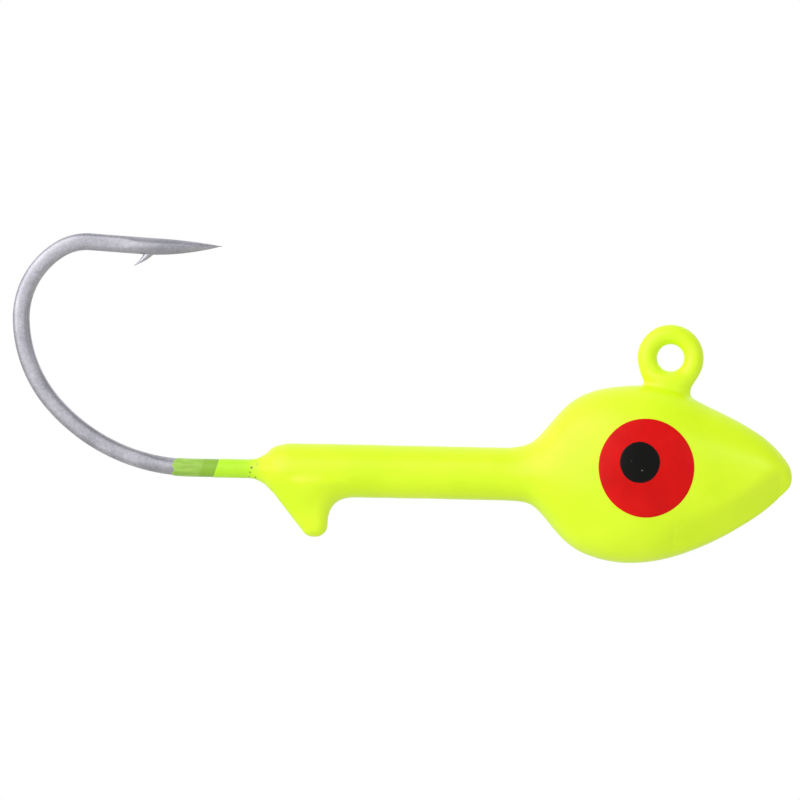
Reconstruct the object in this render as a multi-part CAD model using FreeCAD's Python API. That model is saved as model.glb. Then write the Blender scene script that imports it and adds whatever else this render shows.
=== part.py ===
import FreeCAD, Part
import math
import os

# Jig head: a lead head cast around a 90 degree jig hook, primed, painted, and given painted eyes.
# Millimetres. The origin is the centre of the line eye, +X runs to the nose and +Z is up.

# hook
wire_d = 1.20
eye_ring_r = 1.64
shank_z = -8.37
stem_bend_r = 2.2
shank_end_x = -33.47
bend_arcs = [(13.02, 47.7), (9.26, 39.9), (5.64, 60.3), (3.58, 35.3)]
arm_length = 3.9
point_length = 5.3
point_lift = 0.39
point_tip_r = 0.04
point_ring_shares = [0.0, 0.2, 0.4, 0.6, 0.8, 0.93, 1.0]
barb_thickness = 0.5
barb_outline = [(0.75, 0.30), (0.40, 0.62), (-0.20, 1.08), (-0.72, 1.42), (-0.36, 0.66), (-0.34, 0.30)]
forged_thickness = 1.08
forged_from_x = -36.2
forging_run_in = 1.5
forged_height = 12.1

# paint films, outwards from the metal
base_film = 0.03
top_film = 0.04
eye_film = 0.04
paint = base_film + top_film
film_under_tail = 1.0
base_coat_end_x = -34.74
top_coat_end_x = -31.5
top_coat_end_tilt = 14.0
top_coat_overrun = 0.5
line_eye_bore_d = 1.92
line_eye_land = 0.5
line_eye_land_r = 1.3

# painted sizes of the cast body
collar_d = 3.70
collar_front_x = -11.4
collar_full_x = -26.4
collar_tail_x = -29.3
collar_tail_radii = [(-27.2, 1.72), (-27.9, 1.39), (-28.6, 0.92), (-29.3, 0.73)]
nose_x = 8.67
boss_x = -0.16

# Flat under each cheek: its place is a share of the way from the line eye to the nose.
# It leans in by jaw_lean over that length, so it keeps to the snout sections when the nose moves.
jaw_place = 0.47405
jaw_y = 2.13
jaw_z = -1.33
jaw_lean = 3.572
jaw_outward = 0.783
jaw_downward = 0.465

# painted eyes
eye_yaw = 14.0
iris_d = 6.92
iris_x = -1.55
iris_z = -7.73
pupil_d = 2.88
pupil_x = -2.08
pupil_z = -7.34
cheek_y = 3.4

# head sections: place, height above the shank axis, depth below it, half width, squareness
# The place is x behind the line eye, and a share of the way from the line eye to the nose in front of it.
rear_sections = [
    (-10.4, 1.97, 1.86, 1.88, 2.0),
    (-9.5, 2.34, 2.16, 2.02, 2.0),
    (-8.6, 3.32, 3.00, 2.45, 2.05),
    (-7.4, 4.70, 4.38, 2.90, 2.15),
    (-5.6, 5.85, 5.53, 3.38, 2.3),
    (-3.3, 6.33, 6.03, 3.55, 2.4),
    (-0.5, 6.29, 5.81, 3.27, 2.45),
]
snout_sections = [
    (0.265, 5.23, 4.87, 2.70, 2.5),
    (0.577, 3.93, 3.45, 2.05, 2.4),
    (0.807, 2.65, 2.03, 1.52, 2.25),
    (0.934, 1.51, 1.05, 1.00, 2.1),
    (0.983, 0.81, 0.49, 0.56, 2.0),
    (1.0, 0.39, 0.07, 0.22, 2.0),
]

# keeper spur levels: height, rear end, front end, width
keeper_levels = [
    (-8.6, -29.2, -21.6, 2.6),
    (-10.2, -27.5, -22.2, 2.6),
    (-11.3, -26.6, -23.75, 2.1),
    (-12.4, -25.75, -23.75, 1.7),
]
keeper_tip = (-13.02, -25.1, -24.35, 0.7)

# eye boss levels: height, half length, half width
boss_levels = [(-3.6, 2.9, 1.9), (-2.3, 1.80, 1.2)]
boss_top = (-1.75, 1.58, 0.95)

Y_AXIS = FreeCAD.Vector(0, 1, 0)
wire_r = wire_d / 2
far = 60.0


def direction(heading):
    turn = math.radians(heading)
    return FreeCAD.Vector(math.cos(turn), 0, math.sin(turn))


def round_face(centre, heading, radius):
    circle = Part.makeCircle(radius, centre, direction(heading))
    return Part.Face(Part.Wire(circle))


def box_between(x0, x1, y0, y1, z0, z1):
    corner = FreeCAD.Vector(x0, y0, z0)
    return Part.makeBox(x1 - x0, y1 - y0, z1 - z0, corner)


def rod(radius, x_from, x_to):
    start = FreeCAD.Vector(x_from, 0, shank_z)
    return Part.makeCylinder(radius, x_to - x_from, start, FreeCAD.Vector(1, 0, 0))


def bent_length(radius, start, heading, bend_radius, angle):
    """One bent length of round wire, and the place and heading where it ends."""
    centre = start + direction(heading - 90) * bend_radius
    solid = round_face(start, heading, radius).revolve(centre, Y_AXIS, angle)
    end_heading = heading - angle
    end = centre - direction(end_heading - 90) * bend_radius
    return solid, end, end_heading


def straight_length(radius, start, heading, length):
    run = direction(heading) * length
    return round_face(start, heading, radius).extrude(run), start + run


def eye_ring(tube_r):
    centre = FreeCAD.Vector(0, 0, 0)
    return Part.makeTorus(eye_ring_r, tube_r, centre, Y_AXIS)


def ground_point(start, heading):
    """The point is ground from the inner side, so its axis lifts towards the outer side."""
    rings = []
    for t in point_ring_shares:
        radius = max(wire_r * (1 - t * t), point_tip_r)
        centre = start + direction(heading) * (point_length * t)
        centre = centre + FreeCAD.Vector(0, 0, point_lift * t ** 1.5)
        rings.append(Part.Wire(Part.makeCircle(radius, centre, direction(heading))))
    return Part.makeLoft(rings, True, False)


def cut_barb(start, heading):
    """A sliver raised from the inner side of the wire, pointing back along it."""
    along = direction(heading)
    inward = direction(heading - 90)
    corners = [start + along * a + inward * b for a, b in barb_outline]
    wire = Part.makePolygon(corners + [corners[0]])
    side = FreeCAD.Vector(0, barb_thickness / 2, 0)
    wire.translate(side * -1)
    return Part.Face(wire).extrude(side * 2)


def forging_flat(side):
    """Material pressed off one side of the bend, with a short run-in at each end."""
    inner = side * forged_thickness / 2
    clear = side * (wire_r + 0.01)
    outer = side * wire_d
    flat_x = forged_from_x - forging_run_in
    corners = [(-far, inner), (flat_x, inner), (forged_from_x, clear), (forged_from_x, outer), (-far, outer)]
    points = [FreeCAD.Vector(x, y, shank_z - wire_d) for x, y in corners]
    wire = Part.makePolygon(points + [points[0]])
    return Part.Face(wire).extrude(FreeCAD.Vector(0, 0, forged_height))


def make_hook():
    start = FreeCAD.Vector(0, 0, -eye_ring_r)
    stem_length = -eye_ring_r - shank_z - stem_bend_r
    stem, at = straight_length(wire_r, start, -90, stem_length)
    turn, at, heading = bent_length(wire_r, at, -90, stem_bend_r, 90)
    shank, at = straight_length(wire_r, at, heading, at.x - shank_end_x)
    lengths = [stem, turn, shank]
    for bend_radius, angle in bend_arcs:
        piece, at, heading = bent_length(wire_r, at, heading, bend_radius, angle)
        lengths.append(piece)
    arm, at = straight_length(wire_r, at, heading, arm_length)
    lengths = lengths + [arm, ground_point(at, heading), cut_barb(at, heading)]
    hook = eye_ring(wire_r).multiFuse(lengths)
    for side in (-1, 1):
        hook = hook.cut(forging_flat(side))
    return hook.removeSplitter()


def inside_jaw(point, grow):
    """Moves a point that stands proud of the flat under its cheek onto that flat."""
    side = math.copysign(1, point.y)
    normal = FreeCAD.Vector(jaw_lean / nose_x, side * jaw_outward, -jaw_downward).normalize()
    on_flat = FreeCAD.Vector(nose_x * jaw_place, side * jaw_y, shank_z + jaw_z)
    proud = (point - on_flat).dot(normal) - grow
    if proud <= 0:
        return point
    across = FreeCAD.Vector(0, normal.y, normal.z)
    return point - across * (proud / across.dot(across))


def body_section(station, grow):
    """A closed section square to the shank: a circle at squareness 2, boxier above it."""
    x, above, below, half_width, squareness = station
    middle = shank_z + (above - below) / 2
    half_height = (above + below) / 2 + grow
    half_width = half_width + grow
    points = []
    for step in range(20):
        turn = 2 * math.pi * step / 20
        across = math.copysign(abs(math.cos(turn)) ** (2 / squareness), math.cos(turn))
        up = math.copysign(abs(math.sin(turn)) ** (2 / squareness), math.sin(turn))
        point = FreeCAD.Vector(x, half_width * across, middle + half_height * up)
        points.append(inside_jaw(point, grow))
    curve = Part.BSplineCurve()
    curve.interpolate(Points=points, PeriodicFlag=True)
    return Part.Wire(curve.toShape())


def round_section(x, radius, grow):
    return body_section((x, radius, radius, radius, 2.0), grow)


def head(grow):
    sections = [round_section(collar_front_x, collar_d / 2, grow)]
    for station in rear_sections:
        sections.append(body_section(station, grow))
    for share, above, below, half_width, squareness in snout_sections:
        x = nose_x * share + grow * share ** 2
        sections.append(body_section((x, above, below, half_width, squareness), grow))
    return Part.makeLoft(sections, True, False)


def collar(grow):
    """Round collar for the soft bait."""
    front = Part.Face(round_section(collar_front_x, collar_d / 2, grow))
    return front.extrude(FreeCAD.Vector(collar_full_x - collar_front_x, 0, 0))


def collar_tail(grow):
    """The end of the collar, drawn down onto the shank."""
    sections = [round_section(collar_full_x, collar_d / 2, grow)]
    for x, radius in collar_tail_radii:
        share = (x - collar_full_x) / (collar_tail_x - collar_full_x)
        sections.append(round_section(x - grow * share, radius, grow))
    return Part.makeLoft(sections, True, False)


def keeper_level(z, x_rear, x_front, width, grow):
    """A flat-sided, round-ended level of the bait keeper."""
    half = width / 2 + grow
    rear = x_rear - grow + half
    front = x_front + grow - half
    corners = [(rear, half), (front, half), (front, -half), (rear, -half)]
    p = [FreeCAD.Vector(x, y, z) for x, y in corners]
    nose = FreeCAD.Vector(front + half, 0, z)
    tail = FreeCAD.Vector(rear - half, 0, z)
    edges = [Part.makeLine(p[0], p[1]), Part.Arc(p[1], nose, p[2]).toShape()]
    edges = edges + [Part.makeLine(p[2], p[3]), Part.Arc(p[3], tail, p[0]).toShape()]
    return Part.Wire(edges)


def keeper(grow):
    """Spur under the collar: a long slope behind and a steep face towards the head."""
    levels = [keeper_level(*level, grow) for level in keeper_levels]
    tip_z, x_rear, x_front, width = keeper_tip
    levels.append(keeper_level(tip_z - grow, x_rear, x_front, width, grow))
    return Part.makeLoft(levels, True, True)


def boss_level(z, half_x, half_y, grow):
    ellipse = Part.Ellipse(FreeCAD.Vector(boss_x, 0, z), half_x + grow, half_y + grow)
    return Part.Wire(ellipse.toShape())


def eye_boss(grow):
    """Lead raised around the root of the line eye."""
    levels = [boss_level(*level, grow) for level in boss_levels]
    top_z, half_x, half_y = boss_top
    levels.append(boss_level(top_z + grow, half_x, half_y, grow))
    return Part.makeLoft(levels, True, True)


def cast_body(grow):
    return head(grow).multiFuse([collar(grow), collar_tail(grow), keeper(grow), eye_boss(grow)])


def shank_film(grow, end_x):
    """Film on the bare shank, following the start of the bend where it reaches that far."""
    radius = wire_r + paint + grow
    straight_end = max(end_x, shank_end_x)
    film = rod(radius, straight_end, collar_tail_x + film_under_tail)
    if end_x < shank_end_x:
        start = FreeCAD.Vector(shank_end_x, 0, shank_z)
        bend_radius = bend_arcs[0][0]
        angle = math.degrees(math.asin((shank_end_x - end_x) / bend_radius))
        curved, at, heading = bent_length(radius, start, 180, bend_radius, angle)
        film = film.fuse(curved)
    return film


def coated_body(grow, end_x):
    """Everything inside one paint film: the casting, the eye ring and the start of the shank."""
    ring = eye_ring(wire_r + paint + grow)
    return cast_body(grow).multiFuse([ring, shank_film(grow, end_x)])


def top_coat_end():
    """The top coat stops short of the base coat along a slanted edge."""
    block = box_between(-far, 0, -5, 5, -8, 8)
    block.rotate(FreeCAD.Vector(0, 0, 0), Y_AXIS, top_coat_end_tilt)
    block.translate(FreeCAD.Vector(top_coat_end_x, 0, shank_z))
    near_shank = box_between(-far, collar_tail_x - 0.7, -wire_d, wire_d, shank_z - wire_d, shank_z + wire_d)
    return block.common(near_shank)


def painted_disc(x, z, diameter, inner, outer, side):
    """A round film on one side face, square to that face."""
    yaw = math.radians(eye_yaw)
    normal = FreeCAD.Vector(math.sin(yaw), side * math.cos(yaw), 0)
    start = FreeCAD.Vector(x, side * cheek_y, z) - normal * 2.0
    tool = Part.makeCylinder(diameter / 2, 5.0, start, normal)
    return head(outer).common(tool).cut(head(inner))


hook = make_hook()
bare = cast_body(-paint)
casting = bare.cut(hook)
base_outer = coated_body(-top_film, base_coat_end_x)
base_coat = base_outer.cut(bare.fuse(hook))
top_outer = coated_body(0, top_coat_end_x - top_coat_overrun).cut(top_coat_end())
land_start = FreeCAD.Vector(0, -line_eye_land / 2, 0)
land = Part.makeCylinder(line_eye_land_r, line_eye_land, land_start, Y_AXIS)
bore = Part.makeCylinder(line_eye_bore_d / 2, 4, FreeCAD.Vector(0, -2, 0), Y_AXIS)
top_coat = top_outer.fuse(land).cut(bore).cut(base_outer).cut(hook)

parts = {"hook": hook, "lead_casting": casting, "base_coat": base_coat, "top_coat": top_coat}
for name, side in (("left", 1), ("right", -1)):
    parts["iris_" + name] = painted_disc(iris_x, iris_z, iris_d, 0, eye_film, side)
    pupil = painted_disc(pupil_x, pupil_z, pupil_d, eye_film, 2 * eye_film, side)
    parts["pupil_" + name] = pupil

os.makedirs("parts", exist_ok=True)
for name, shape in parts.items():
    shape.exportStep("parts/" + name + ".step")
    print(name, "closed", shape.isValid(), "solids", len(shape.Solids), "mm3", round(shape.Volume, 3))
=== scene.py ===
import math

import bpy
import numpy as np
from mathutils import Matrix, Vector, noise


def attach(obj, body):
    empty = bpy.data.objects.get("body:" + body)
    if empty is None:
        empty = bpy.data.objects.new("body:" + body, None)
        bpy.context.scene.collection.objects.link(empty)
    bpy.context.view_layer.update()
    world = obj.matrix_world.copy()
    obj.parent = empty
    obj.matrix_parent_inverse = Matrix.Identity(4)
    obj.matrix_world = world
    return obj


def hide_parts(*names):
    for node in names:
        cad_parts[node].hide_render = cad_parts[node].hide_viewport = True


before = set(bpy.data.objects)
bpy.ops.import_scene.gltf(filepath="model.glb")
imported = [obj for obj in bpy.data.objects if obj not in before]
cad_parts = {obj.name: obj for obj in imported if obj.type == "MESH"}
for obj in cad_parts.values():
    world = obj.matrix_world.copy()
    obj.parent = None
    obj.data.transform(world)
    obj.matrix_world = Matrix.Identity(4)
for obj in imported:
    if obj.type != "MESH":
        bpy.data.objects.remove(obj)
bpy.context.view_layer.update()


# ---- Hook ----
# One length of high-carbon steel wire, drawn, bent cold, forged flat on both sides of the bend, ground to a
# point, slit for the barb and then tinned. The foot of the ring eye and the front of the shank are cast into
# the lead.
MM = 0.001
wire_r = 0.595
eye_ring_r = 1.64
shank_z = -8.37
stem_bend_r = 2.2
shank_end_x = -33.47
bend_arcs = [(13.02, 47.7), (9.26, 39.9), (5.64, 60.3), (3.58, 35.3)]
arm_length = 3.9
point_length = 5.3
point_lift = 0.38
point_turn = 6.0
point_tip_r = 0.03
point_steps = 60
forged_half = 0.535
forged_squareness = 3.4
forging_start_x = -34.9
forging_end_x = -37.6
arm_forging_x = -37.4
arm_forging_run = 1.2
wire_sides = 40
ring_steps = 96

# the barb: its middle along the arm and inward from it, and the half length and half width of its section
barb_root_along = 0.34
barb_root_inward = 0.25
barb_height = 1.17
barb_half_length = 0.40
barb_half_width = 0.26
barb_tip = 0.03
barb_rings = 14
barb_sides = 16


def heading_vector(degrees):
    turn = math.radians(degrees)
    return np.array([math.cos(turn), 0.0, math.sin(turn)])


def wire_route():
    """Points and headings along the wire's middle line, from under the ring eye to the start of the point."""
    at = np.array([0.0, 0.0, -eye_ring_r])
    heading = -90.0
    stem = -eye_ring_r - shank_z - stem_bend_r
    runs = [(0, stem), (stem_bend_r, 90.0), (0, -stem_bend_r - shank_end_x)]
    runs = runs + bend_arcs + [(0, arm_length)]
    points = [at]
    headings = [heading]
    for radius, amount in runs:
        if radius == 0:
            steps = max(int(amount / 0.25), 1)
            for step in range(1, steps + 1):
                points.append(at + heading_vector(heading) * amount * step / steps)
                headings.append(heading)
            at = points[-1]
        else:
            centre = at + heading_vector(heading - 90) * radius
            steps = int(math.radians(amount) * radius / 0.11)
            for step in range(1, steps + 1):
                turned = heading - amount * step / steps
                points.append(centre - heading_vector(turned - 90) * radius)
                headings.append(turned)
            at = points[-1]
            heading = heading - amount
    return np.array(points), np.array(headings)


def eased(value):
    value = np.clip(value, 0.0, 1.0)
    return value * value * (3 - 2 * value)


def wire_ring(centre, heading, in_plane, across, squareness):
    """One section of the wire: round at squareness 2, flat-sided above it."""
    turn = 2 * np.pi * np.arange(wire_sides) / wire_sides
    inward = heading_vector(heading - 90)
    power = 2.0 / squareness
    a = np.sign(np.cos(turn)) * np.abs(np.cos(turn)) ** power * in_plane
    b = np.sign(np.sin(turn)) * np.abs(np.sin(turn)) ** power * across
    return centre + a[:, None] * inward + b[:, None] * np.array([0.0, 1.0, 0.0])


def tube_faces(rings, sides, start=0):
    """Quads between rings laid one after another, with a flat face closing each end."""
    faces = []
    for ring in range(rings - 1):
        for side in range(sides):
            a = start + ring * sides + side
            b = start + ring * sides + (side + 1) % sides
            faces.append((a, b, b + sides, a + sides))
    faces.append(tuple(start + side for side in reversed(range(sides))))
    faces.append(tuple(start + (rings - 1) * sides + side for side in range(sides)))
    return faces


def new_piece(name, verts, faces, body="root"):
    """A smooth mesh piece from points in millimetres, riding on a body of the frame."""
    mesh = bpy.data.meshes.new(name)
    mesh.from_pydata([tuple(v) for v in np.asarray(verts) * MM], [], [tuple(f) for f in faces])
    mesh.validate()
    mesh.shade_smooth()
    piece = bpy.data.objects.new(name, mesh)
    bpy.context.scene.collection.objects.link(piece)
    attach(piece, body)
    return piece


route, headings = wire_route()
rings = []
for centre, heading in zip(route, headings):
    in_bend = eased((forging_start_x - centre[0]) / (forging_start_x - forging_end_x))
    before_point = eased((arm_forging_x - centre[0]) / arm_forging_run) if centre[2] > 0 else 1.0
    forged = float(in_bend * before_point)
    across = wire_r + (forged_half - wire_r) * forged
    squareness = 2.0 + (forged_squareness - 2.0) * forged
    rings.append(wire_ring(centre, heading, wire_r, across, squareness))
arm_end = route[-1]
arm_heading = headings[-1]
for step in range(1, point_steps + 1):
    along = step / point_steps
    radius = max(wire_r * (1 - along * along), point_tip_r)
    lift = np.array([0.0, 0.0, point_lift * along ** 1.5])
    centre = arm_end + heading_vector(arm_heading) * point_length * along + lift
    rings.append(wire_ring(centre, arm_heading + point_turn * along, radius, radius, 2.0))
hook_verts = list(np.concatenate(rings))
hook_faces = tube_faces(len(rings), wire_sides)

# The ring eye, a closed loop of the same wire.
first = len(hook_verts)
for step in range(ring_steps):
    heading = 360.0 * step / ring_steps
    hook_verts.extend(wire_ring(heading_vector(heading + 90) * eye_ring_r, heading, wire_r, wire_r, 2.0))
for step in range(ring_steps):
    for side in range(wire_sides):
        a = first + step * wire_sides + side
        b = first + step * wire_sides + (side + 1) % wire_sides
        shift = wire_sides if step < ring_steps - 1 else -(ring_steps - 1) * wire_sides
        hook_faces.append((a, b, b + shift, a + shift))

# The barb, a sliver slit from the inner side and bent up, thick at its root and thin at its tip.
first = len(hook_verts)
barb_along = heading_vector(arm_heading)
barb_inward = heading_vector(arm_heading - 90)
for step in range(barb_rings):
    t = step / (barb_rings - 1)
    along = barb_root_along - 0.30 * t - 0.76 * t * t
    middle = arm_end + barb_along * along + barb_inward * (barb_root_inward + barb_height * t)
    half_length = barb_half_length * (1 - t) ** 0.8 + barb_tip
    half_width = barb_half_width * (1 - 0.75 * t)
    for side in range(barb_sides):
        turn = 2 * math.pi * side / barb_sides
        offset = barb_along * half_length * math.cos(turn)
        across = np.array([0.0, half_width * math.sin(turn), 0.0])
        hook_verts.append(middle + offset + across)
hook_faces.extend(tube_faces(barb_rings, barb_sides, first))
hook = new_piece("hook_wire", hook_verts, hook_faces)
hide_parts("hook")


def linear(hex_colour):
    """An sRGB hex colour as linear RGBA."""
    channels = [int(hex_colour[i:i + 2], 16) / 255 for i in (1, 3, 5)]
    return [c / 12.92 if c <= 0.04045 else ((c + 0.055) / 1.055) ** 2.4 for c in channels] + [1.0]


def add(tree, kind, settings=None, links=None):
    """Adds a node, sets its properties and sockets, and links its inputs from (node, output) pairs."""
    node = tree.nodes.new("ShaderNode" + kind)
    for key, value in (settings or {}).items():
        if isinstance(key, str) and key in node.bl_rna.properties:
            setattr(node, key, value)
        else:
            node.inputs[key].default_value = value
    for key, (source, output) in (links or {}).items():
        tree.links.new(source.outputs[output], node.inputs[key])
    return node


def start_material(name):
    material = bpy.data.materials.new(name)
    material.use_nodes = True
    material.node_tree.nodes.clear()
    return material, material.node_tree


def finish_material(material, shader, *pieces):
    out = add(material.node_tree, "OutputMaterial", links={"Surface": (shader, "BSDF")})
    out.is_active_output = True
    for piece in pieces:
        piece.data.materials.clear()
        piece.data.materials.append(material)


def paint_ramp(node, stops):
    """Sets a colour ramp from (place, hex colour) pairs."""
    ramp = node.color_ramp
    while len(ramp.elements) < len(stops):
        ramp.elements.new(0.5)
    for element, (place, colour) in zip(ramp.elements, stops):
        element.position = place
        element.color = linear(colour)


# Tinned steel wire: a grey satin metal. Die lines and tumbling leave a fine cloudy grain, about 0.16 mm,
# which breaks its reflections into soft streaks rather than clean mirror lines.
steel, tree = start_material("tinned_forged_steel_wire")
place = add(tree, "TexCoord")
grain = add(tree, "TexNoise", {"Scale": 1 / (0.16 * MM), "Detail": 5.0, "Roughness": 0.65},
            {"Vector": (place, "Object")})
cloud = add(tree, "TexNoise", {"Scale": 1 / (1.8 * MM), "Detail": 3.0}, {"Vector": (place, "Object")})
blotch = add(tree, "Mix", {"data_type": "FLOAT", 0: 0.45}, {2: (grain, "Fac"), 3: (cloud, "Fac")})
tone = add(tree, "ValToRGB", links={"Fac": (blotch, 0)})
paint_ramp(tone, [(0.34, "#9A9AA2"), (0.5, "#B0AFB8"), (0.66, "#C6C5CD")])
satin = add(tree, "MapRange", {"To Min": 0.30, "To Max": 0.50}, {"Value": (grain, "Fac")})
tooth = add(tree, "Bump", {"Strength": 0.12, "Distance": 0.012 * MM}, {"Height": (grain, "Fac")})
shader = add(tree, "BsdfPrincipled", {"Metallic": 1.0},
             {"Base Color": (tone, "Color"), "Roughness": (satin, "Result"), "Normal": (tooth, "Normal")})
finish_material(steel, shader, hook)


# ---- Lead casting ----
# Lead with a little antimony, poured into a two-part mould around the hook. It makes the head, the bait
# collar, the keeper spur and the boss at the line eye, and it is wholly under the paint. Its sizes here are
# the painted ones, and each coat below is the same shape at its own depth.
nose_x = 8.67
nose_lift = 0.17
collar_join_x = -13.0
paint_depth = 0.085

# the drawn-down end of the collar: x, radius
tail_radii = [(-30.4, 0.60), (-29.9, 0.63), (-29.5, 0.655), (-29.15, 0.69), (-28.75, 0.79), (-28.45, 0.95),
              (-28.15, 1.15), (-27.85, 1.44), (-27.55, 1.62), (-27.2, 1.72), (-26.8, 1.815), (-26.3, 1.85),
              (-25.4, 1.86), (-20.0, 1.86), (-13.0, 1.86), (-12.0, 1.86)]

# head stations: x, height above the shank axis, depth below it, half width, squareness
head_stations = [
    (-14.0, 1.86, 1.86, 1.86, 2.0),
    (-13.0, 1.86, 1.86, 1.86, 2.0),
    (-12.0, 1.86, 1.86, 1.86, 2.0),
    (-11.1, 1.87, 1.87, 1.86, 2.0),
    (-10.4, 1.98, 1.91, 1.90, 2.0),
    (-9.5, 2.36, 2.17, 2.05, 2.0),
    (-8.6, 3.30, 3.02, 2.45, 2.05),
    (-7.4, 4.70, 4.38, 2.90, 2.15),
    (-5.6, 5.85, 5.53, 3.36, 2.3),
    (-3.3, 6.33, 6.03, 3.53, 2.4),
    (-0.5, 6.29, 5.81, 3.25, 2.45),
    (2.3, 5.23, 4.87, 2.70, 2.5),
    (5.0, 3.93, 3.45, 2.05, 2.4),
    (7.0, 2.65, 2.03, 1.50, 2.25),
    (8.1, 1.51, 1.05, 0.95, 2.1),
    (8.55, 0.80, 0.46, 0.50, 2.0),
]


def fair_curve(knots, values):
    """A natural cubic through the values, as a lofted or faired line runs."""
    knots = np.array(knots, float)
    values = np.array(values, float)
    gap = np.diff(knots)
    slope = np.diff(values) / gap
    count = len(knots)
    system = np.eye(count)
    right = np.zeros(count)
    for i in range(1, count - 1):
        system[i, i - 1:i + 2] = gap[i - 1], 2 * (gap[i - 1] + gap[i]), gap[i]
        right[i] = 6 * (slope[i] - slope[i - 1])
    bend = np.linalg.solve(system, right)

    def curve(at):
        at = np.clip(at, knots[0], knots[-1])
        i = np.clip(np.searchsorted(knots, at) - 1, 0, count - 2)
        a = (knots[i + 1] - at) / gap[i]
        b = 1 - a
        bow = ((a ** 3 - a) * bend[i] + (b ** 3 - b) * bend[i + 1]) * gap[i] ** 2 / 6
        return a * values[i] + b * values[i + 1] + bow

    return curve


# Measured back from the nose as a square root, so that the nose is round and not pointed.
rows = list(reversed(head_stations))
back = [0.0] + [math.sqrt(nose_x - row[0]) for row in rows]
middle_of = fair_curve(back, [nose_lift] + [(row[1] - row[2]) / 2 for row in rows])
height_of = fair_curve(back, [0.0] + [(row[1] + row[2]) / 2 for row in rows])
width_of = fair_curve(back, [0.0] + [row[3] for row in rows])
squareness_of = fair_curve(back, [2.0] + [row[4] for row in rows])
tail_of = fair_curve([x for x, _ in tail_radii], [radius for _, radius in tail_radii])


def joined(a, b, fillet):
    """Two shapes run together with a fillet of paint in the corner between them."""
    mix = np.clip(0.5 + 0.5 * (b - a) / fillet, 0.0, 1.0)
    return b + (a - b) * mix - fillet * mix * (1 - mix)


def trimmed(a, b, edge):
    """What is inside both shapes, with the edge between them rounded over."""
    return -joined(-a, -b, edge)


def spindle_shape(p):
    """Collar and head in one, a stack of sections along the shank."""
    x, y, z = p
    behind = np.sqrt(np.clip(nose_x - x, 0.0, None))
    on_collar = x < collar_join_x
    round_part = tail_of(x)
    height = np.maximum(np.where(on_collar, round_part, height_of(behind)), 1e-3)
    width = np.maximum(np.where(on_collar, round_part, width_of(behind)), 1e-3)
    square = np.where(on_collar, 2.0, squareness_of(behind))
    up = z - shank_z - np.where(on_collar, 0.0, middle_of(behind))
    reach = (np.abs(y / width) ** square + np.abs(up / height) ** square) ** (1 / square)
    radial = np.hypot(y, up)
    inside = radial * (1 - 1 / np.maximum(reach, 1e-3))
    core = -np.minimum(height, width) * 0.98
    body = np.where(radial < 0.05, core, inside)
    return np.where(x > nose_x, np.hypot(x - nose_x, radial), body)


jaw_point = (4.11, 1.99, -9.62)
jaw_normal = np.array([0.412, 0.783, -0.465])
jaw_bulge = 0.34
jaw_half_length = 3.7
jaw_edge = 0.20


def jaw_facet(p):
    """The flat under each cheek, from below the eye to the nose. It is crowned a little along its length."""
    x, y, z = p
    along = np.abs(x - jaw_point[0]) / jaw_half_length
    out = np.abs(y) - jaw_point[1]
    flat = jaw_normal[0] * (x - jaw_point[0]) + jaw_normal[1] * out + jaw_normal[2] * (z - jaw_point[2])
    return flat - jaw_bulge * (1 - np.minimum(along, 1.0) ** 2)


spur_corners = [(-24.61, -12.19), (-24.80, -12.19), (-27.83, -8.40), (-24.61, -8.40)]
spur_round = 0.85
spur_tip_z = -12.4
spur_taper = 3.0
spur_tip_half = 0.02
spur_gain = 0.42
rear_fillet = 0.15
front_fillet = 1.9
corner_x = -27.6
corner_run = 2.4
corner_fade = 0.9


def keeper_shape(p):
    """A rounded wedge: a long slope behind, a steep face towards the head, thinner at its tip."""
    x, y, z = p
    nearest = np.full(x.shape, 1e9)
    side = np.full(x.shape, -1e9)
    for (ax, az), (bx, bz) in zip(spur_corners, spur_corners[1:] + spur_corners[:1]):
        ex = bx - ax
        ez = bz - az
        length2 = ex * ex + ez * ez
        t = np.clip(((x - ax) * ex + (z - az) * ez) / length2, 0.0, 1.0)
        nearest = np.minimum(nearest, np.hypot(x - ax - t * ex, z - az - t * ez))
        side = np.maximum(side, ((z - az) * ex - (x - ax) * ez) / math.sqrt(length2))
    outline = np.where(side > 0, nearest, -nearest)
    half_width = spur_tip_half + spur_gain * np.clip((z - spur_tip_z) / spur_taper, 0.0, 1.0)
    across = np.abs(y) - half_width
    outside = np.hypot(np.maximum(outline, 0.0), np.maximum(across, 0.0))
    return outside + np.minimum(np.maximum(outline, across), 0.0) - spur_round


web_x = -0.16
web_half_length = 1.60
web_half_width = 0.80
web_top_z = -1.30
web_foot_z = -6.0
web_fillet = 0.30


def eye_web(p):
    """Lead that fills the corner between the ring eye and the head, fuller on the side away from the nose."""
    x, y, z = p
    round_off = np.hypot((x - web_x) / web_half_length, y / web_half_width) - 1.0
    return np.maximum(round_off * 0.9, np.maximum(z - web_top_z, web_foot_z - z))


def cast_shape(p):
    """Below zero inside the head, collar, spur and boss, in millimetres near their surface."""
    head = trimmed(spindle_shape(p), jaw_facet(p), jaw_edge)
    in_corner = eased((p[0] - corner_x) / corner_run) * eased((shank_z - p[2]) / corner_fade)
    body = joined(head, keeper_shape(p), rear_fillet + (front_fillet - rear_fillet) * in_corner)
    return joined(body, eye_web(p), web_fillet)


def slope_of(field, p):
    """The field's gradient at points, by small steps each way."""
    step = 0.004
    parts = []
    for axis in range(3):
        ahead = [c.copy() for c in p]
        behind = [c.copy() for c in p]
        ahead[axis] += step
        behind[axis] -= step
        parts.append((field(ahead) - field(behind)) / (2 * step))
    return np.array(parts)


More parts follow.
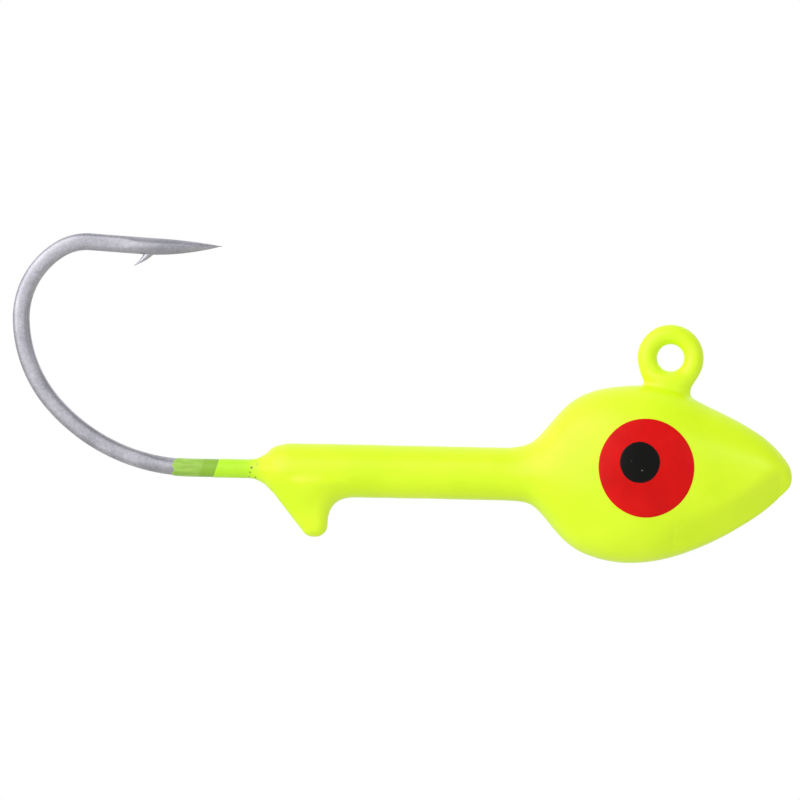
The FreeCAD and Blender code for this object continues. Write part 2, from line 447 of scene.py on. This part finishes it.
def skin_mesh(field, low, high, cell):
    """Quads over the surface where the field is zero, with each corner pulled exactly onto it."""
    axes = [np.arange(low[i], high[i], cell) for i in range(3)]
    x, y, z = np.meshgrid(*axes, indexing="ij")
    value = field([x, y, z])
    inside = value < 0
    size = [len(a) - 1 for a in axes]
    corners = [(i, j, k) for i in (0, 1) for j in (0, 1) for k in (0, 1)]
    count = sum(inside[i:i + size[0], j:j + size[1], k:k + size[2]].astype(int) for i, j, k in corners)
    crossing = (count > 0) & (count < 8)
    cells = np.argwhere(crossing)
    number = np.full(size, -1)
    number[tuple(cells.T)] = np.arange(len(cells))
    at_corner = {c: value[tuple((cells + c).T)] for c in corners}
    total = np.zeros((len(cells), 3))
    hits = np.zeros(len(cells))
    for a in corners:
        for b in corners:
            if sum(b) - sum(a) != 1 or any(p > q for p, q in zip(a, b)):
                continue
            cut = (at_corner[a] < 0) != (at_corner[b] < 0)
            t = np.where(cut, at_corner[a] / np.where(cut, at_corner[a] - at_corner[b], 1.0), 0.0)
            spot = np.array(a) + t[:, None] * (np.array(b) - np.array(a))
            total += spot * cut[:, None]
            hits += cut
    points = (cells + total / hits[:, None]) * cell + np.array(low)
    faces = []
    for axis in range(3):
        u, v = [(axis + 1) % 3, (axis + 2) % 3]
        here = [slice(None)] * 3
        ahead = [slice(None)] * 3
        here[axis] = slice(0, -1)
        ahead[axis] = slice(1, None)
        change = inside[tuple(here)] != inside[tuple(ahead)]
        spots = np.argwhere(change)
        spots = spots[(spots[:, u] > 0) & (spots[:, v] > 0)]
        outward = inside[tuple(spots.T)]
        ring = []
        for du, dv in ((-1, -1), (0, -1), (0, 0), (-1, 0)):
            index = spots.copy()
            index[:, u] += du
            index[:, v] += dv
            ring.append(number[tuple(index.T)])
        quads = np.stack(ring, 1)
        quads[~outward] = quads[~outward][:, ::-1]
        faces.append(quads)
    p = [points[:, i].copy() for i in range(3)]
    for _ in range(4):
        slope = slope_of(field, p)
        pull = np.clip(field(p) / np.maximum((slope ** 2).sum(0), 0.05), -cell, cell)
        p = [p[i] - pull * slope[i] for i in range(3)]
    return np.array(p).T, np.concatenate(faces)


def sunk(field, verts, depth):
    """Points on a field's surface moved straight in below it."""
    slope = slope_of(field, [verts[:, i].copy() for i in range(3)])
    return verts - (slope / np.linalg.norm(slope, axis=0)).T * depth


body_low = (-31.0, -3.9, -14.8)
casting_high = (9.0, 3.9, -0.9)
casting_cell = 0.2
verts, faces = skin_mesh(cast_shape, body_low, casting_high, casting_cell)
casting = new_piece("lead_body", sunk(cast_shape, verts, paint_depth), faces)
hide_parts("lead_casting")

# As-cast lead: dull blue-grey, slightly frosted, with the shallow ripple of a cold mould.
lead, tree = start_material("as_cast_lead")
place = add(tree, "TexCoord")
ripple = add(tree, "TexNoise", {"Scale": 1 / (1.2 * MM), "Detail": 4.0}, {"Vector": (place, "Object")})
tone = add(tree, "ValToRGB", links={"Fac": (ripple, "Fac")})
paint_ramp(tone, [(0.3, "#6C6F75"), (0.7, "#8E9197")])
relief = add(tree, "Bump", {"Strength": 0.3, "Distance": 0.03 * MM}, {"Height": (ripple, "Fac")})
shader = add(tree, "BsdfPrincipled", {"Metallic": 1.0, "Roughness": 0.6},
             {"Base Color": (tone, "Color"), "Normal": (relief, "Normal")})
finish_material(lead, shader, casting)


# ---- Base coat ----
# A thin green-tinted primer that the hot head is dipped in first. It runs further along the shank than the
# top coat, ends there in a ragged line where it wicked along the wire, and lets the steel show through.
base_film_r = 0.635
base_depth = 0.042
base_end_x = -34.55
base_sleeve_front_x = -28.6
base_rim = 0.05
wicking = 0.30
fraying = 0.16
ring_film_r = 0.697
ring_inset = 0.01
ring_fillet = 0.45
skin_high = (9.0, 3.9, 2.6)
base_cell = 0.16


def film_sleeve(radius, front_x, end_of, rim, sides=72, steps=60):
    """A sleeve of film on the shank. end_of gives its rear edge for each angle round the wire."""
    verts = []
    profile = [(0.0, wire_r - 0.06), (0.0, wire_r + 0.35 * (radius - wire_r)), (rim, radius)]
    bend_r = bend_arcs[0][0]
    for step in range(steps + 3):
        for side in range(sides):
            turn = 2 * math.pi * side / sides
            rear = end_of(turn)
            if step < 3:
                x = rear + profile[step][0]
                r = profile[step][1]
            else:
                x = rear + rim + (front_x - rear - rim) * (step - 2) / steps
                r = radius
            beyond = max(shank_end_x - x, 0.0)
            angle = beyond / bend_r
            start = np.array([max(x, shank_end_x), 0.0, shank_z])
            centre = start + np.array([-bend_r * math.sin(angle), 0.0, bend_r * (1 - math.cos(angle))])
            up = np.array([math.sin(angle), 0.0, math.cos(angle)])
            verts.append(centre + up * r * math.cos(turn) + np.array([0.0, r * math.sin(turn), 0.0]))
    return verts, tube_faces(steps + 3, sides)


def ragged_end(turn):
    """The wicked edge of the base coat, a few tenths of a millimetre in and out."""
    spot = Vector((math.cos(turn) * 1.3, math.sin(turn) * 1.3, 4.2))
    fine = Vector((math.cos(turn) * 3.4, math.sin(turn) * 3.4, 9.1))
    return base_end_x + wicking * noise.noise(spot) + fraying * noise.noise(fine)


def ring_shape(p):
    """The painted ring eye."""
    x, y, z = p
    return np.hypot(np.hypot(x, z) - eye_ring_r + ring_inset, y) - ring_film_r


def painted_skin(p):
    """The casting with the ring eye joined to it by fillets of paint."""
    return joined(cast_shape(p), ring_shape(p), ring_fillet)


def with_sleeve(verts, faces, sleeve_verts, sleeve_faces):
    """A skin over the body and its sleeve along the shank as one list of points and faces."""
    shifted = [tuple(len(verts) + i for i in face) for face in sleeve_faces]
    return list(verts) + sleeve_verts, [tuple(int(i) for i in face) for face in faces] + shifted


verts, faces = skin_mesh(painted_skin, body_low, skin_high, base_cell)
sleeve_verts, sleeve_faces = film_sleeve(base_film_r, base_sleeve_front_x, ragged_end, base_rim)
verts, faces = with_sleeve(sunk(painted_skin, verts, base_depth), faces, sleeve_verts, sleeve_faces)
base_coat = new_piece("base_coat_film", verts, faces)
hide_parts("base_coat")

# Dipped vinyl primer over steel: a glossy thin green film, streaked along the wire where it drained, and
# deeper in a narrow slanted band beside the top coat, where it lies double.
primer, tree = start_material("green_vinyl_primer_film")
place = add(tree, "TexCoord")
stretch = add(tree, "Mapping", {"Scale": (1 / (1.1 * MM), 1 / (0.28 * MM), 1 / (0.28 * MM))},
              {"Vector": (place, "Object")})
streak = add(tree, "TexNoise", {"Scale": 1.0, "Detail": 4.0, "Roughness": 0.6},
             {"Vector": (stretch, "Vector")})
film = add(tree, "ValToRGB", links={"Fac": (streak, "Fac")})
paint_ramp(film, [(0.3, "#8FBC42"), (0.52, "#9ECB4C"), (0.7, "#AFD85E")])
axes = add(tree, "SeparateXYZ", links={"Vector": (place, "Object")})
lap_slope = 0.28
slant = add(tree, "Math", {"operation": "MULTIPLY_ADD", 1: -lap_slope, 2: shank_z * lap_slope * MM},
            {0: (axes, "Z")})
run = add(tree, "Math", {"operation": "ADD"}, {0: (axes, "X"), 1: (slant, "Value")})
lapped = add(tree, "MapRange", {"From Min": -32.72 * MM, "From Max": -32.60 * MM}, {"Value": (run, "Value")})
tone = add(tree, "Mix", {"data_type": "RGBA", 7: linear("#8DBD30")},
           {0: (lapped, "Result"), 6: (film, "Color")})
ripple = add(tree, "Bump", {"Strength": 0.25, "Distance": 0.02 * MM}, {"Height": (streak, "Fac")})
shader = add(tree, "BsdfPrincipled", {"Roughness": 0.3, "IOR": 1.5},
             {"Base Color": (tone, 2), "Normal": (ripple, "Normal")})
finish_material(primer, shader, base_coat)


# ---- Top coat ----
# A thick fluorescent chartreuse vinyl paint, dipped and cured hot. It covers head, collar, keeper spur and
# line eye in one skin, rounds every edge, and pools in the corners round the eye and the spur.
top_film_r = 0.66
top_end_x = -31.64
top_end_slant = 0.31
top_end_waver = 0.05
top_sleeve_front_x = -28.9
top_rim = 0.04
top_swell = 0.011
top_low = (-30.6, -3.85, -14.8)
top_high = (8.95, 3.9, 2.6)
top_cell = 0.10


def paint_swell(verts):
    """How far the paint sags below full thickness, in slow waves a couple of millimetres long."""
    waves = [noise.fractal(Vector(v) * 0.55, 1.0, 2.0, 2) for v in verts]
    return top_swell * (1 - np.clip(waves, -1, 1))


verts, faces = skin_mesh(painted_skin, top_low, top_high, top_cell)
verts = sunk(painted_skin, verts, paint_swell(verts)[:, None])


def slanted_end(turn):
    """The top coat's rear edge, lower down on one side of the wire than on the other."""
    spot = Vector((math.cos(turn), math.sin(turn), 1.7))
    return top_end_x + top_end_slant * 0.65 * math.cos(turn) + top_end_waver * noise.noise(spot)


sleeve_verts, sleeve_faces = film_sleeve(top_film_r, top_sleeve_front_x, slanted_end, top_rim)
verts, faces = with_sleeve(verts, faces, sleeve_verts, sleeve_faces)
top_coat = new_piece("top_coat_skin", verts, faces)
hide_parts("top_coat")

# Fluorescent vinyl dip paint: saturated yellow-green. A little of its own colour is added as a painted glow,
# which stands in for its fluorescence and lights it the same under any lamp. The wet gloss is broken by
# orange peel about 0.6 mm across. On the bare shank the film is thin and the green primer shows through, and
# the tail has a few pinholes.
chartreuse, tree = start_material("fluorescent_chartreuse_vinyl_paint")
place = add(tree, "TexCoord")
drift = add(tree, "TexNoise", {"Scale": 1 / (4.5 * MM), "Detail": 3.0}, {"Vector": (place, "Object")})
full = add(tree, "ValToRGB", links={"Fac": (drift, "Fac")})
paint_ramp(full, [(0.32, "#D2F214"), (0.5, "#D7F61A"), (0.68, "#DDFA26")])
thin = add(tree, "ValToRGB", links={"Fac": (drift, "Fac")})
paint_ramp(thin, [(0.32, "#B2E620"), (0.5, "#B9EE26"), (0.68, "#C2F432")])
axes = add(tree, "SeparateXYZ", links={"Vector": (place, "Object")})
body_share = add(tree, "MapRange", {"From Min": -29.6 * MM, "From Max": -28.4 * MM}, {"Value": (axes, "X")})
coat = add(tree, "Mix", {"data_type": "RGBA"},
           {0: (body_share, "Result"), 6: (thin, "Color"), 7: (full, "Color")})
holes = add(tree, "TexVoronoi", {"Scale": 1 / (0.42 * MM)}, {"Vector": (place, "Object")})
hole_core = add(tree, "MapRange", {"From Min": 0.16, "From Max": 0.26, "To Min": 1.0, "To Max": 0.0},
                {"Value": (holes, "Distance")})
near_tail = add(tree, "MapRange", {"From Min": -29.5 * MM, "From Max": -29.2 * MM}, {"Value": (axes, "X")})
past_tail = add(tree, "MapRange",
                {"From Min": -28.9 * MM, "From Max": -28.7 * MM, "To Min": 1.0, "To Max": 0.0},
                {"Value": (axes, "X")})
band = add(tree, "Math", {"operation": "MULTIPLY"}, {0: (near_tail, "Result"), 1: (past_tail, "Result")})
pinhole = add(tree, "Math", {"operation": "MULTIPLY"}, {0: (band, "Value"), 1: (hole_core, "Result")})
tone = add(tree, "Mix", {"data_type": "RGBA", 7: linear("#5E7A2A")}, {0: (pinhole, "Value"), 6: (coat, 2)})
peel = add(tree, "TexNoise", {"Scale": 1 / (0.6 * MM), "Detail": 2.0, "Roughness": 0.4},
           {"Vector": (place, "Object")})
relief = add(tree, "Bump", {"Strength": 0.22, "Distance": 0.03 * MM}, {"Height": (peel, "Fac")})
# The emission below is the painted glow: the paint's own colour shining at a fixed strength under any light.
shader = add(tree, "BsdfPrincipled",
             {"Roughness": 0.32, "IOR": 1.5, "Specular IOR Level": 0.42, "Emission Strength": 0.09},
             {"Base Color": (tone, 2), "Emission Color": (tone, 2), "Normal": (relief, "Normal")})
finish_material(chartreuse, shader, top_coat)


# ---- Irises ----
# A red disc on each side of the head, pad-printed or dabbed with a round stamp over the cured top coat.
# It is a few hundredths of a millimetre thick and follows the curve of the cheek.
eye_yaw = 14.0
iris_r = 3.46
iris_place = (-1.55, -7.73)
iris_squash = 0.963
iris_lift = 0.038
cheek_y = 3.3
cheek_search = 2.5
disc_root = 0.06


def eye_disc(name, place_xz, radius, squash, lift, side, edge_of):
    """A closed thin disc laid on the cheek, square to it, with its rim rounded down into the paint."""
    yaw = math.radians(eye_yaw)
    normal = np.array([math.sin(yaw), side * math.cos(yaw), 0.0])
    across = np.array([math.cos(yaw), -side * math.sin(yaw), 0.0])
    up = np.array([0.0, 0.0, 1.0])
    shares = [0.0] + [i / 22 for i in range(1, 22)] + [0.975, 0.99, 0.997, 1.0]
    heights = [1.0] * (len(shares) - 4) + [0.93, 0.72, 0.40, -0.3]
    sides = 120
    flat = []
    rise = []
    for share, height in zip(shares, heights):
        for step in range(sides):
            turn = 2 * math.pi * step / sides
            reach = radius * share * (1 + edge_of(turn) * share)
            flat.append(across * reach * squash * math.cos(turn) + up * reach * math.sin(turn))
            rise.append(height)
    start = np.array([place_xz[0], side * cheek_y, place_xz[1]])
    flat = np.array(flat) + start
    near = np.full(len(flat), -cheek_search)
    far = np.full(len(flat), cheek_search)
    for _ in range(40):
        middle = (near + far) / 2
        p = (flat + middle[:, None] * normal).T
        within = painted_skin([p[0], p[1], p[2]]) < 0
        near = np.where(within, middle, near)
        far = np.where(within, far, middle)
    verts = flat + near[:, None] * normal
    slope = slope_of(painted_skin, [verts[:, i].copy() for i in range(3)])
    outward = (slope / np.linalg.norm(slope, axis=0)).T
    shown = verts + outward * (lift * np.array(rise) - paint_swell(verts))[:, None]
    hidden = verts - outward * disc_root
    count = len(shares)
    faces = []
    for layer, flip in ((0, side < 0), (len(verts), side > 0)):
        for ring in range(count - 1):
            for step in range(sides):
                a = layer + ring * sides + step
                b = layer + ring * sides + (step + 1) % sides
                quad = (a, b, b + sides, a + sides)
                faces.append(quad if flip else quad[::-1])
    rim = (count - 1) * sides
    for step in range(sides):
        a = rim + step
        b = rim + (step + 1) % sides
        quad = (a, b, b + len(verts), a + len(verts))
        faces.append(quad if side < 0 else quad[::-1])
    return new_piece(name, np.concatenate([shown, hidden]), faces)


def crisp_edge(turn):
    return 0.0025 * math.sin(3 * turn + 0.4) + 0.0015 * math.sin(7 * turn)


irises = []
for word, side in (("left", 1), ("right", -1)):
    iris = eye_disc("iris_disc_" + word, iris_place, iris_r, iris_squash, iris_lift, side, crisp_edge)
    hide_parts("iris_" + word)
    irises.append(iris)

# Red enamel: opaque, satin and evenly laid, a little deeper where it is thick.
red_enamel, tree = start_material("stamped_red_enamel")
place = add(tree, "TexCoord")
drift = add(tree, "TexNoise", {"Scale": 1 / (1.6 * MM), "Detail": 4.0}, {"Vector": (place, "Object")})
tone = add(tree, "ValToRGB", links={"Fac": (drift, "Fac")})
paint_ramp(tone, [(0.3, "#D20704"), (0.5, "#DA0906"), (0.7, "#E20D09")])
relief = add(tree, "Bump", {"Strength": 0.12, "Distance": 0.015 * MM}, {"Height": (drift, "Fac")})
shader = add(tree, "BsdfPrincipled", {"Roughness": 0.36, "IOR": 1.5, "Specular IOR Level": 0.15},
             {"Base Color": (tone, "Color"), "Normal": (relief, "Normal")})
finish_material(red_enamel, shader, *irises)


# ---- Pupils ----
# A black enamel dot on each iris, dabbed on by hand once the red is dry. It sits towards the upper rear
# and its edge is slightly uneven.
pupil_r = 1.44
pupil_place = (-2.08, -7.34)
pupil_squash = 0.97
pupil_lift = 0.072


def dabbed_edge(turn):
    spot = Vector((math.cos(turn) * 1.6, math.sin(turn) * 1.6, 2.5))
    fine = Vector((math.cos(turn) * 6.0, math.sin(turn) * 6.0, 5.5))
    return 0.018 * noise.noise(spot) + 0.010 * noise.noise(fine)


pupils = []
for word, side in (("left", 1), ("right", -1)):
    pupil = eye_disc("pupil_dot_" + word, pupil_place, pupil_r, pupil_squash, pupil_lift, side, dabbed_edge)
    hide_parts("pupil_" + word)
    pupils.append(pupil)

# Black enamel: near black and satin, with a few small pale specks scattered over it.
black_enamel, tree = start_material("dabbed_black_enamel")
place = add(tree, "TexCoord")
pale_specks = add(tree, "TexVoronoi", {"Scale": 1 / (0.55 * MM), "Randomness": 1.0}, {"Vector": (place, "Object")})
tone = add(tree, "ValToRGB", links={"Fac": (pale_specks, "Distance")})
paint_ramp(tone, [(0.06, "#A8A8A2"), (0.09, "#060605")])
shader = add(tree, "BsdfPrincipled", {"Roughness": 0.30, "IOR": 1.5, "Specular IOR Level": 0.2},
             {"Base Color": (tone, "Color")})
finish_material(black_enamel, shader, *pupils)


# ---- Studio ----
# A plain pale floor well below the hanging jig, a soft white surround, a broad key light from the upper left,
# a small fill from the nose end and a long lens square to the jig's side. The floor is wide enough to fill
# the raised views and stops short of the side view.
floor_z = -42.0
floor_r = 320.0
floor_centre = (-18.0, -40.0)
floor_mesh = bpy.data.meshes.new("floor")
ring = [(floor_r * math.cos(math.radians(a)) + floor_centre[0],
         floor_r * math.sin(math.radians(a)) + floor_centre[1], floor_z)
        for a in range(0, 360, 3)]
floor_mesh.from_pydata([(x * MM, y * MM, z * MM) for x, y, z in ring], [], [tuple(range(len(ring)))])
floor = bpy.data.objects.new("floor", floor_mesh)
bpy.context.scene.collection.objects.link(floor)
board, tree = start_material("matt_white_board")
shader = add(tree, "BsdfPrincipled", {"Base Color": linear("#DADAD7"), "Roughness": 0.9})
finish_material(board, shader, floor)

# The surround glows evenly behind the jig. In front of it, it is brightest towards the bend of the hook and
# dimmer towards the nose and towards the floor. The view itself sees plain white.
world = bpy.data.worlds.new("surround")
world.use_nodes = True
world.node_tree.nodes.clear()
tree = world.node_tree
way = add(tree, "TexCoord")
axes = add(tree, "SeparateXYZ", links={"Vector": (way, "Generated")})
ahead = add(tree, "MapRange", {"interpolation_type": "SMOOTHSTEP", "From Min": -0.75, "From Max": 0.40,
                               "To Min": 1.30, "To Max": 0.34}, {"Value": (axes, "X")})
depth = add(tree, "MapRange", {"interpolation_type": "SMOOTHSTEP", "From Min": -0.50, "From Max": 0.55},
            {"Value": (axes, "Y")})
level = add(tree, "Mix", {"data_type": "FLOAT", 3: 1.0}, {0: (depth, "Result"), 2: (ahead, "Result")})
rise = add(tree, "MapRange", {"From Min": -1.0, "From Max": 0.3, "To Min": 0.55, "To Max": 1.0},
           {"Value": (axes, "Z")})
glow = add(tree, "Math", {"operation": "MULTIPLY"}, {0: (level, 0), 1: (rise, "Result")})
seen = add(tree, "Background", {"Color": (1.0, 1.0, 1.0, 1.0), "Strength": 1.0})
light = add(tree, "Background", {"Color": (1.0, 1.0, 1.0, 1.0)}, {"Strength": (glow, "Value")})
path = add(tree, "LightPath")
pick = add(tree, "MixShader",
           links={0: (path, "Is Camera Ray"), 1: (light, "Background"), 2: (seen, "Background")})
out = tree.nodes.new("ShaderNodeOutputWorld")
tree.links.new(pick.outputs[0], out.inputs["Surface"])
bpy.context.scene.world = world


jig_middle = (-18, 0, -5)


def soft_light(name, place, side, watts):
    """A square diffuser, in millimetres, pointed at the middle of the jig."""
    lamp = bpy.data.lights.new(name, "AREA")
    lamp.shape = "SQUARE"
    lamp.size = side * MM
    lamp.energy = watts
    holder = bpy.data.objects.new(name, lamp)
    bpy.context.scene.collection.objects.link(holder)
    holder.location = Vector(place) * MM
    holder.rotation_euler = (Vector(jig_middle) - Vector(place)).to_track_quat("-Z", "Y").to_euler()


soft_light("key", (-200, -275, 125), 440, 0.70)
soft_light("side_fill", (200, -268, 70), 70, 0.07)

camera_data = bpy.data.cameras.new("side_camera")
camera_data.sensor_width = 36
view_width = 56.0
distance = 1000.0
camera_data.lens = camera_data.sensor_width * distance / view_width
camera_data.clip_end = 10
camera = bpy.data.objects.new("side_camera", camera_data)
bpy.context.scene.collection.objects.link(camera)
tilt = math.radians(1.18)
camera.matrix_world = (Matrix.Translation(Vector((-18.88, -distance, -3.34)) * MM)
                       @ Matrix.Rotation(math.radians(90), 4, "X") @ Matrix.Rotation(tilt, 4, "Z"))
bpy.context.scene.camera = camera
bpy.context.scene.view_settings.view_transform = "Standard"
